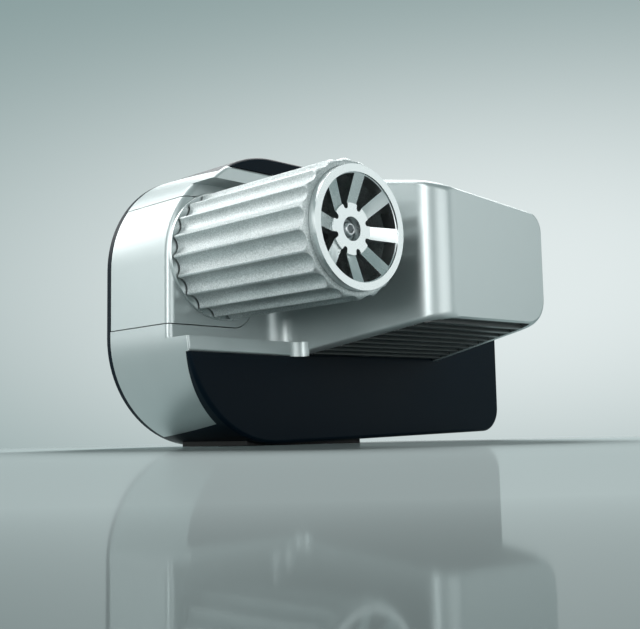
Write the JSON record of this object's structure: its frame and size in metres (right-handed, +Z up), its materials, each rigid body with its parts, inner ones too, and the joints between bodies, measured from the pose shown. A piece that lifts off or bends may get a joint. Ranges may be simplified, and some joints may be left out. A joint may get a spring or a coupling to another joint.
{
  "type": "caravan motor mover",
  "caption": "Electric caravan mover: a fluted drive roller on a sliding carriage in a C-shaped silver and dark housing, with its motor under a tapered cover.",
  "frame": {"origin": "on the floor under the middle of the part's box", "axes": "+X along the roller axis to its free end, +Y from the tyre side to the rear, +Z up"},
  "size_m": [0.202, 0.304, 0.1842],
  "materials": {
    "silver_paint": "satin metallic silver paint on moulded covers",
    "dark_plastic": "fine satin navy-black moulded plastic",
    "black_plastic": "matt black moulded plastic",
    "cast_aluminium": "grainy cast aluminium",
    "machined_aluminium": "bright turned aluminium",
    "steel": "ground steel",
    "zinc_steel": "zinc plated steel",
    "bronze": "sintered bronze",
    "rubber": "matt black rubber"
  },
  "bodies": {
    "housing": {"back_housing": "dark_plastic", "front_cover": "dark_plastic", "upper_shell": "silver_paint", "lower_shell": "silver_paint", "motor_cover": "silver_paint", "cooling_grille": "black_plastic", "foot": "rubber", "frame_plate": "zinc_steel", "mount_bushes": "zinc_steel", "cable_grommet": "rubber", "cover_screws": "zinc_steel", "upper_guide_rod": "steel", "lower_guide_rod": "steel", "rod_blocks": "cast_aluminium", "spindle_bearing": "cast_aluminium", "engage_gearbox": "cast_aluminium", "engage_motor": "zinc_steel"},
    "carriage": {"carriage_shell": "silver_paint", "shield_disc": "machined_aluminium", "gear_case": "cast_aluminium", "gear_case_cover": "cast_aluminium", "motor_screws": "zinc_steel", "front_bearing": "steel", "rear_bearing": "steel", "idler_pin": "steel", "compound_pin": "steel", "motor_flange": "cast_aluminium", "drive_motor": "zinc_steel", "motor_end_bell": "black_plastic", "guide_bushes": "bronze", "spindle_nut": "bronze"},
    "roller_drum": {"roller": "cast_aluminium", "roller_shaft": "steel", "roller_gear": "steel", "end_cap": "machined_aluminium", "cap_screw": "zinc_steel"},
    "idler": {"idler_gear": "steel"},
    "compound": {"compound_gear": "steel"},
    "motor_rotor": {"motor_shaft": "steel", "motor_armature": "steel", "motor_pinion": "steel"},
    "spindle_screw": {"spindle": "steel"}
  },
  "joints": [
    {"name": "engage_slide", "type": "slide", "parent": "housing", "child": "carriage", "axis": [0, -1, 0], "range_m": [0, 0.03]},
    {"name": "spindle_turn", "type": "hinge", "parent": "housing", "child": "spindle_screw", "pos_m": [-0.065, -0.0208, 0.0372], "axis": [0, 1, 0], "range_deg": [0, 1800]},
    {"name": "roller_spin", "type": "hinge", "parent": "carriage", "child": "roller_drum", "pos_m": [0.0294, -0.1108, 0.1192], "axis": [1, 0, 0], "continuous": true},
    {"name": "idler_spin", "type": "hinge", "parent": "carriage", "child": "idler", "pos_m": [-0.0676, -0.0648, 0.1192], "axis": [1, 0, 0], "continuous": true},
    {"name": "compound_spin", "type": "hinge", "parent": "carriage", "child": "compound", "pos_m": [-0.0706, -0.0318, 0.1192], "axis": [1, 0, 0], "continuous": true},
    {"name": "motor_spin", "type": "hinge", "parent": "carriage", "child": "motor_rotor", "pos_m": [-0.0606, 0.0082, 0.1192], "axis": [1, 0, 0], "continuous": true}
  ],
  "couplings": [
    {"joint": "spindle_turn", "follows": "engage_slide", "rad_per_m": 1047.2},
    {"joint": "idler_spin", "follows": "roller_spin", "ratio": -1.4211},
    {"joint": "compound_spin", "follows": "roller_spin", "ratio": 1.9286},
    {"joint": "motor_spin", "follows": "roller_spin", "ratio": -4.5}
  ]
}
